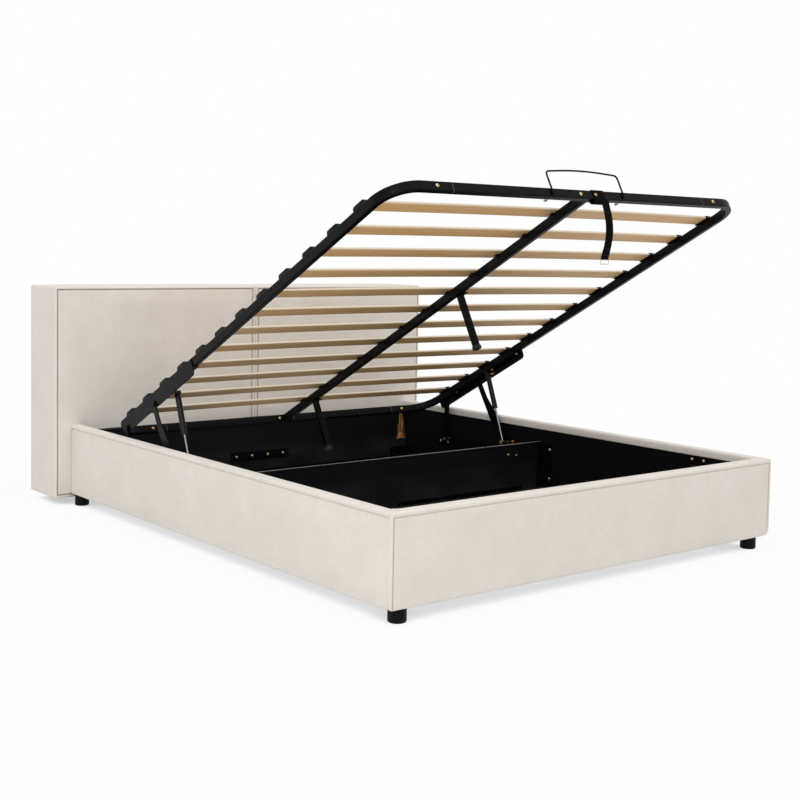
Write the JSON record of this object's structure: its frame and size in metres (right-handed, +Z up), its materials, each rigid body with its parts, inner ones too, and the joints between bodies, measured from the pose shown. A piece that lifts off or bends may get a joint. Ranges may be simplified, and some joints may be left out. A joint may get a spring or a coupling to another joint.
{
  "type": "ottoman storage bed",
  "caption": "Upholstered ottoman storage bed: padded box base and headboard, with a slatted steel deck that lifts on links and gas struts.",
  "frame": {"origin": "centre of the whole bed's footprint, on the floor", "axes": "+X to the right seen from the foot end, +Y towards the headboard, +Z up"},
  "size_m": [1.87, 2.34, 1.3203],
  "materials": {
    "linen_cover": "woven linen-look upholstery, matt",
    "pine_board": "raw softwood and board, hidden in the padding",
    "black_lining": "thin black lining cloth, matt",
    "black_board": "black foil-faced board",
    "grey_edging": "light grey edge strip, satin",
    "black_steel": "black powder coat, satin",
    "zinc_fixings": "yellow zinc plating, semi-bright",
    "strut_rod": "polished hard chrome rod",
    "black_plastic": "moulded black plastic, matt",
    "rubber_cap": "black rubber, matt",
    "birch_slat": "birch veneer plywood, clear, satin",
    "black_webbing": "woven black webbing",
    "ring_steel": "plated wire, satin",
    "amber_film": "clear amber film, glossy"
  },
  "bodies": {
    "base": {"base_bolts": "zinc_fixings", "base_pivot_pins": "zinc_fixings", "base_plate_left": "black_steel", "base_plate_right": "black_steel", "corner_brackets": "black_steel", "deck_rest_brackets": "black_steel", "divider_board": "black_board", "divider_brackets": "black_steel", "divider_cap": "grey_edging", "floor_ledgers": "black_steel", "floor_panel_foot": "black_lining", "floor_panel_head": "black_lining", "foot_back_left": "black_plastic", "foot_back_right": "black_plastic", "foot_centre": "black_plastic", "foot_front_left": "black_plastic", "foot_front_right": "black_plastic", "foot_rail_board": "pine_board", "foot_rail_cover": "linen_cover", "head_joining_plate": "black_steel", "head_rail": "black_board", "headboard_cover_left": "linen_cover", "headboard_cover_right": "linen_cover", "headboard_frame_left": "pine_board", "headboard_frame_right": "pine_board", "rail_linings": "black_lining", "side_rail_board_left": "pine_board", "side_rail_board_right": "pine_board", "side_rail_cover_left": "linen_cover", "side_rail_cover_right": "linen_cover"},
    "front_links": {"front_link_left": "black_steel", "front_link_right": "black_steel"},
    "rear_links": {"rear_link_left": "black_steel", "rear_link_right": "black_steel"},
    "strut_rods": {"strut_rods": "strut_rod"},
    "strut_cylinders": {"strut_cylinders": "black_steel"},
    "deck": {"centre_bar": "black_steel", "deck_bolts": "zinc_fixings", "foot_tube": "black_steel", "head_tube": "black_steel", "leg_caps": "rubber_cap", "lift_plate_left": "black_steel", "lift_plate_right": "black_steel", "mattress_stop": "black_steel", "side_tube_left": "black_steel", "side_tube_right": "black_steel", "slat_pads_centre": "black_plastic", "slat_holders_left": "black_plastic", "slat_holders_right": "black_plastic", "slats": "birch_slat", "strap_loop": "black_webbing", "strut_top_studs": "zinc_fixings", "support_leg_foot": "black_steel", "support_leg_head": "black_steel", "tube_spigots": "black_steel"},
    "strap": {"pull_strap": "black_webbing", "strap_ring": "ring_steel"},
    "pouch": {"fixings_pouch": "amber_film", "spare_bolts": "zinc_fixings"}
  },
  "joints": [
    {"name": "deck_lift", "type": "hinge", "parent": "base", "child": "front_links", "pos_m": [0, 0.18903, 0.21865], "axis": [-1, 0, 0], "range_deg": [0, 51.42], "stiffness_Nm_per_rad": 58, "springref_deg": -170.74},
    {"name": "deck_tilt", "type": "hinge", "parent": "front_links", "child": "deck", "pos_m": [0, 0.34256, 0.46455], "axis": [1, 0, 0], "range_deg": [0, 79.42]},
    {"name": "rear_link_turn", "type": "hinge", "parent": "base", "child": "rear_links", "pos_m": [0, 0.5685, 0.1829], "axis": [1, 0, 0], "range_deg": [-69.22, 0]},
    {"name": "strut_turn", "type": "hinge", "parent": "base", "child": "strut_rods", "pos_m": [0, 0.133, 0.226], "axis": [1, 0, 0], "range_deg": [-63.49, 0]},
    {"name": "strut_slide", "type": "slide", "parent": "strut_rods", "child": "strut_cylinders", "axis": [0, 0.3516, 0.9362], "range_m": [-0.07746, 0]},
    {"name": "strap_swing", "type": "hinge", "parent": "deck", "child": "strap", "pos_m": [0, -1.06098, 1.22657], "axis": [1, 0, 0], "range_deg": [-15, 60]},
    {"name": "pouch_swing", "type": "hinge", "parent": "deck", "child": "pouch", "pos_m": [0, 0.67853, 0.30403], "axis": [1, 0, 0], "range_deg": [-28.01, 0]}
  ],
  "couplings": [
    {"joint": "deck_tilt", "follows": "deck_lift", "ratio": 1.5446},
    {"joint": "rear_link_turn", "follows": "deck_lift", "ratio": -1.3463},
    {"joint": "strut_turn", "follows": "deck_lift", "ratio": -1.2347},
    {"joint": "strut_slide", "follows": "deck_lift", "m_per_rad": -0.086205},
    {"joint": "pouch_swing", "follows": "deck_lift", "ratio": -0.54459}
  ]
}
